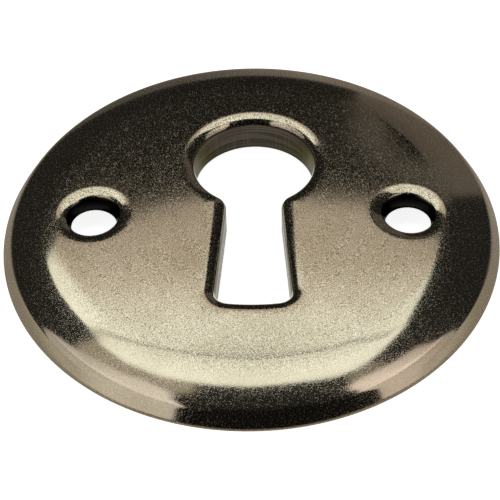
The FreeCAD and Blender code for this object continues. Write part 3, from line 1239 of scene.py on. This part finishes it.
CARDS = (
    Card(
        "light_overhead",
        (
            (-27, 3.5), (-19.5, -1.8), (-10, -4.2), (-1, -5.2), (9, -3.8), (17, -3), (21.5, 0.2),
            (25, 6), (27.5, 16), (20, 18), (10, 25), (3, 29.5), (-4.5, 29.5), (-10, 26),
            (-15, 22), (-20, 19.5), (-31.5, 15), (-31, 10),
        ),
        glow=1.3,
        back_glow=1.25,
    ),
    Card(
        "light_back",
        (
            (-31, 15), (-21, 18), (-14, 21.5), (-9, 26), (-4.5, 29), (3, 29), (8, 25.5),
            (12, 22), (20, 16.5), (27, 15), (20, 30), (16, 37), (13, 42), (7, 45.5), (-4, 46),
            (-9, 44.5), (-21, 41.5), (-36, 36), (-36, 28),
        ),
        glow=1.4,
        back_glow=0.76,
        back_tint=(1.0, 0.86, 0.80),
        fade=(33.5, 40.5),
    ),
    Card(
        "light_join",
        (
            (-31, 10.5), (-27, 14.7), (-20, 17.2), (-14.5, 20), (-10, 24.2), (-4.8, 27.5),
            (-1, 28), (2.8, 27.4), (7.2, 24.6), (10, 22.7), (17, 16.5), (22.3, 14),
            (23.2, 18.2), (19.2, 19.3), (10.5, 26.6), (7.8, 28.5), (3, 31.3), (-1, 31.8),
            (-4.6, 31.4), (-8.8, 28.6), (-13.6, 24), (-18.8, 21.3), (-26.6, 18.6), (-32, 14.5),
        ),
        glow=0.77,
        distance=0.95,
    ),
    Card(
        "light_left",
        (
            (-18.5, -10), (-24.3, -4.2), (-29, -2.2), (-33.3, 1.9), (-39, 6.5), (-46, 12),
            (-54, 10), (-50, -14), (-40, -36), (-28, -52),
        ),
        glow=1.0,
        back_glow=0.62,
        tint=(1.0, 0.91, 0.93),
        fade=(-12.0, 10.0),
    ),
    Card(
        "light_left_low",
        (
            (-53, 10.5), (-75, 5), (-94, -4), (-90, -35), (-70, -60), (-46, -78), (-27, -51),
            (-39, -36), (-49, -14),
        ),
        glow=0.72,
        back_glow=0.47,
        tint=(1.0, 0.91, 0.90),
        fade=(-35.0, 8.0),
    ),
    Card(
        "light_right",
        (
            (21, -8), (23.5, -4.8), (27.6, -1.6), (31.5, 2.3), (36, 6.8), (45, 8), (53, 5),
            (52, -16), (45, -36), (41, -40),
        ),
        glow=1.1,
        back_glow=0.7,
        tint=(1.0, 0.85, 0.87),
        fade=(-8.0, 6.0),
    ),
    Card(
        "light_right_low",
        (
            (52, 5.3), (62, 3), (91, -2), (88, -28), (78, -60), (62, -52), (40, -39), (44, -36),
            (51, -16),
        ),
        glow=0.76,
        back_glow=0.49,
        tint=(1.0, 0.85, 0.84),
        fade=(-38.0, 0.0),
    ),
    Card(
        "seam_left",
        (
            (-38.5, 8.8), (-34, 10.5), (-29, 12), (-25, 6), (-17, 1), (-12, -3), (-13, -8.5),
            (-20, -11), (-30, -4), (-40, 6),
        ),
        glow=0.42,
        back_glow=0.36,
        tint=(1.0, 0.87, 0.78),
        distance=1.1,
    ),
    Card(
        "seam_right",
        ((20.5, -6), (20, -2), (23, 2.5), (27, 2.5), (30, -2), (24, -7)),
        glow=0.26,
        tint=(1.0, 0.87, 0.78),
        distance=1.1,
    ),
    Card(
        "card_back",
        (
            (6, 52.5), (6.2, 55), (8.5, 61), (12.5, 70), (16, 84), (17, 91), (52, 91), (54, 80),
            (48, 63), (36, 54), (20, 46.5), (11, 46.5), (7.2, 50.5),
        ),
        glow=0.13,
        tint=(1.0, 0.88, 0.84),
        back_tint=(1.0, 0.82, 0.76),
        fade=(50.0, 64.0),
    ),
    Card(
        "card_back_dark",
        (
            (8.6, 52), (11.5, 60), (17, 67), (19.8, 65.5), (21.5, 61), (18, 56), (12.9, 50.5),
            (10.5, 49.3),
        ),
        glow=0.012,
        distance=0.95,
    ),
)


# Radiance of the painted reflection sheet in each direction, by the share of a turn from -X through
# the front
REFLECTION_SHEET_GLOW = (
    (0.0, 0.09), (0.012, 0.18), (0.03, 0.36), (0.08, 0.5), (0.15, 0.64), (0.17, 0.05),
    (0.36, 0.05), (0.38, 0.62), (0.42, 0.52), (0.47, 0.34), (0.488, 0.18), (0.5, 0.09),
    (0.56, 0.2), (0.72, 0.22), (0.78, 0.1),
)


@dataclass(frozen=True)
class Stage:
    """The pale table, the dark room round it, the soft lights and a glowing sheet that paints
    reflections in the metal.

    Lengths are in metres.

    Args:
        table_size: Side of the table.
        table_drop: How far the table's top lies under the plate.
        table_white: Light that makes the table look white to the camera and to metal.
        room_radius: Radius of the dark room.
        room_glow: Radiance of the room in front and behind.
        room_tint: Linear colour of the room.
        reflection_sheet_radius: Radius of the painted reflection sheet, a glowing sheet that only
            the metal sees.
        reflection_sheet_hole: Radius of the hole in it, in which the plate lies.
        reflection_sheet_near: Distance from the plate's axis up to which the sheet has its near
            glow.
        reflection_sheet_far: Distance from which it has its far glow.
        near_glow: Radiance of the sheet close to the plate.
        reflection_sheet_tint: Linear colour of the sheet.
        far_glow: Radiance of the sheet further out, in each direction.
    """

    table_size: float = 6.0
    table_drop: float = 0.00001
    table_white: float = 0.88
    room_radius: float = 1.6
    room_glow: tuple[float, float] = (0.006, 0.019)
    room_tint: tuple[float, float, float] = (1.0, 0.96, 0.98)
    reflection_sheet_radius: float = 1.5
    reflection_sheet_hole: float = 0.018
    reflection_sheet_near: float = 0.0185
    reflection_sheet_far: float = 0.025
    near_glow: float = 0.3
    reflection_sheet_tint: tuple[float, float, float] = (1.0, 0.88, 0.80)
    far_glow: tuple[tuple[float, float], ...] = REFLECTION_SHEET_GLOW

    def table_finish(self) -> bpy.types.Material:
        """A matt white table that keeps shadows and looks white to the camera and to metal.

        Returns:
            The material.
        """
        material = bpy.data.materials.new("pale_table")
        material.use_nodes = True
        tree = material.node_tree
        shader = tree.nodes["Principled BSDF"]
        shader.inputs["Base Color"].default_value = (0.75, 0.75, 0.75, 1)
        shader.inputs["Roughness"].default_value = 0.9
        shader.inputs["Specular IOR Level"].default_value = 0.0
        shader.inputs["Emission Color"].default_value = (1, 1, 1, 1)
        path = tree.nodes.new("ShaderNodeLightPath")
        seen = path.outputs["Is Camera Ray"]
        for name in ("Is Glossy Ray", "Is Transmission Ray"):
            add = tree.nodes.new("ShaderNodeMath")
            tree.links.new(seen, add.inputs[0])
            tree.links.new(path.outputs[name], add.inputs[1])
            seen = add.outputs[0]
        share = tree.nodes.new("ShaderNodeMath")
        share.operation = "MULTIPLY"
        share.inputs[1].default_value = self.table_white
        tree.links.new(seen, share.inputs[0])
        tree.links.new(share.outputs[0], shader.inputs["Emission Strength"])
        return material

    def room_finish(self) -> bpy.types.Material:
        """The dark room's glow, fainter in front than behind."""
        front, back = self.room_glow
        return Card("dark_room", (), front, back, self.room_tint, fade=(-60.0, -8.0)).finish()

    def reflection_sheet_finish(self) -> bpy.types.Material:
        """Painted reflection: the sheet's glow in the metal, which changes with distance and
        direction.

        Returns:
            The material, reading Object coordinates.
        """
        material = bpy.data.materials.new("painted_reflection_sheet")
        material.use_nodes = True
        tree = material.node_tree
        tree.nodes.clear()
        place = tree.nodes.new("ShaderNodeTexCoord")
        length = tree.nodes.new("ShaderNodeVectorMath")
        length.operation = "LENGTH"
        tree.links.new(place.outputs["Object"], length.inputs[0])
        # Painted reflection: glow by distance from the plate and by direction round it
        fade = tree.nodes.new("ShaderNodeMapRange")
        fade.inputs["From Min"].default_value = self.reflection_sheet_near
        fade.inputs["From Max"].default_value = self.reflection_sheet_far
        tree.links.new(length.outputs["Value"], fade.inputs["Value"])
        around = tree.nodes.new("ShaderNodeTexGradient")
        around.gradient_type = "RADIAL"
        tree.links.new(place.outputs["Object"], around.inputs["Vector"])
        ramp = tree.nodes.new("ShaderNodeValToRGB")
        tree.links.new(around.outputs["Fac"], ramp.inputs["Fac"])
        stops = ramp.color_ramp.elements
        for position, _ in self.far_glow[len(stops):]:
            stops.new(position)
        for stop, (position, radiance) in zip(stops, self.far_glow):
            stop.position = position
            stop.color = (radiance, radiance, radiance, 1)
        near = tree.nodes.new("ShaderNodeMixRGB")
        near.inputs["Color1"].default_value = (self.near_glow, self.near_glow, self.near_glow, 1)
        tree.links.new(fade.outputs["Result"], near.inputs["Fac"])
        tree.links.new(ramp.outputs["Color"], near.inputs["Color2"])
        glow = tree.nodes.new("ShaderNodeEmission")
        glow.inputs["Color"].default_value = (*self.reflection_sheet_tint, 1)
        tree.links.new(near.outputs["Color"], glow.inputs["Strength"])
        output = tree.nodes.new("ShaderNodeOutputMaterial")
        tree.links.new(glow.outputs["Emission"], output.inputs["Surface"])
        return material

    def lay_reflection_sheet(self) -> None:
        """Lays a glowing sheet round the plate that only its metal sees, a painted reflection in
        place of the white table.
        """
        bpy.ops.object.select_all(action="DESELECT")
        bpy.ops.mesh.primitive_circle_add(
            vertices=96, radius=self.reflection_sheet_radius, fill_type="NGON", location=(0, 0, 0)
        )
        sheet = bpy.context.object
        sheet.name = "painted_reflection_sheet"
        bpy.ops.object.mode_set(mode="EDIT")
        bpy.ops.mesh.select_all(action="SELECT")
        bpy.ops.mesh.inset(thickness=self.reflection_sheet_radius - self.reflection_sheet_hole)
        bpy.ops.mesh.delete(type="FACE")
        bpy.ops.object.mode_set(mode="OBJECT")
        sheet.data.materials.append(self.reflection_sheet_finish())
        # Only the metal sees the sheet: a painted reflection, not a lamp
        sheet.visible_camera = False
        sheet.visible_diffuse = False
        sheet.visible_shadow = False

    def build(self) -> None:
        """Sets up the table, the room and the lights."""
        bpy.ops.mesh.primitive_plane_add(
            size=self.table_size, location=(0, 0, -self.table_drop)
        )
        table = bpy.context.object
        table.name = "table"
        table.data.materials.append(self.table_finish())

        bpy.ops.mesh.primitive_uv_sphere_add(
            segments=48, ring_count=24, radius=self.room_radius, location=(0, 0, 0)
        )
        room = bpy.context.object
        room.name = "dark_room"
        room.data.materials.append(self.room_finish())
        room.visible_camera = False

        # Painted reflection round the plate, seen only in the metal
        self.lay_reflection_sheet()
        world = bpy.data.worlds.new("studio")
        bpy.context.scene.world = world
        world.use_nodes = True
        sky = world.node_tree.nodes["Background"]
        sky.inputs["Color"].default_value = (1, 1, 1, 1)
        sky.inputs["Strength"].default_value = 1.0

        for card in CARDS:
            card.hang()
        LOG.info("stage: table, room, cloth and %d cards", len(CARDS))


@dataclass(frozen=True)
class Camera:
    """The camera as it stood for the photograph, in millimetres and degrees.

    Args:
        lens: Focal length on a sensor 36 mm wide.
        distance: From the lens to the plate's centre, along the view.
        elevation: Angle of the view over the table.
        turn: How far the plate is turned about its axis.
        roll: How far the camera is rolled.
        right: How far the view passes to the left of the centre.
        up: How far the view passes below the centre.
    """

    lens: float = 153.0
    distance: float = 150.0
    elevation: float = 46.21
    turn: float = -1.4
    roll: float = 1.48
    right: float = 0.087
    up: float = 0.806

    def place(self) -> bpy.types.Object:
        """Sets the camera up.

        Returns:
            The camera, which is the scene's own.
        """
        rise = math.radians(self.elevation)
        roll = math.radians(self.roll)
        across = Vector((1, 0, 0))
        upright = Vector((0, math.sin(rise), math.cos(rise)))
        forward = Vector((0, math.cos(rise), -math.sin(rise)))
        right = across * math.cos(roll) - upright * math.sin(roll)
        up = across * math.sin(roll) + upright * math.cos(roll)
        stand = -right * self.right - up * self.up - forward * self.distance
        turn_back = Matrix.Rotation(-math.radians(self.turn), 4, "Z")
        pose = Matrix((right, up, -forward)).transposed().to_4x4()
        pose.translation = stand * MM
        bpy.ops.object.camera_add()
        camera = bpy.context.object
        camera.name = "camera"
        camera.matrix_world = turn_back @ pose
        camera.data.sensor_width = 36
        camera.data.lens = self.lens
        camera.data.clip_start = 0.005
        camera.data.clip_end = 10
        bpy.context.scene.camera = camera
        LOG.info("camera %.1f mm", self.lens)
        return camera


def main() -> None:
    """Builds the escutcheon, its finish, the stage and the camera."""
    logging.basicConfig(level=logging.INFO, format="%(message)s")
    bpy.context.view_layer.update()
    bpy.context.scene.view_settings.view_transform = "Standard"
    plate = Plate().build()
    plate.data.materials.append(AntiqueBrass().make())
    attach(plate, BODY)
    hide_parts(CAD_NODE)
    LOG.info("%s: %d faces", plate.name, len(plate.data.polygons))
    Stage().build()
    Camera().place()


if __name__ == "__main__":
    main()
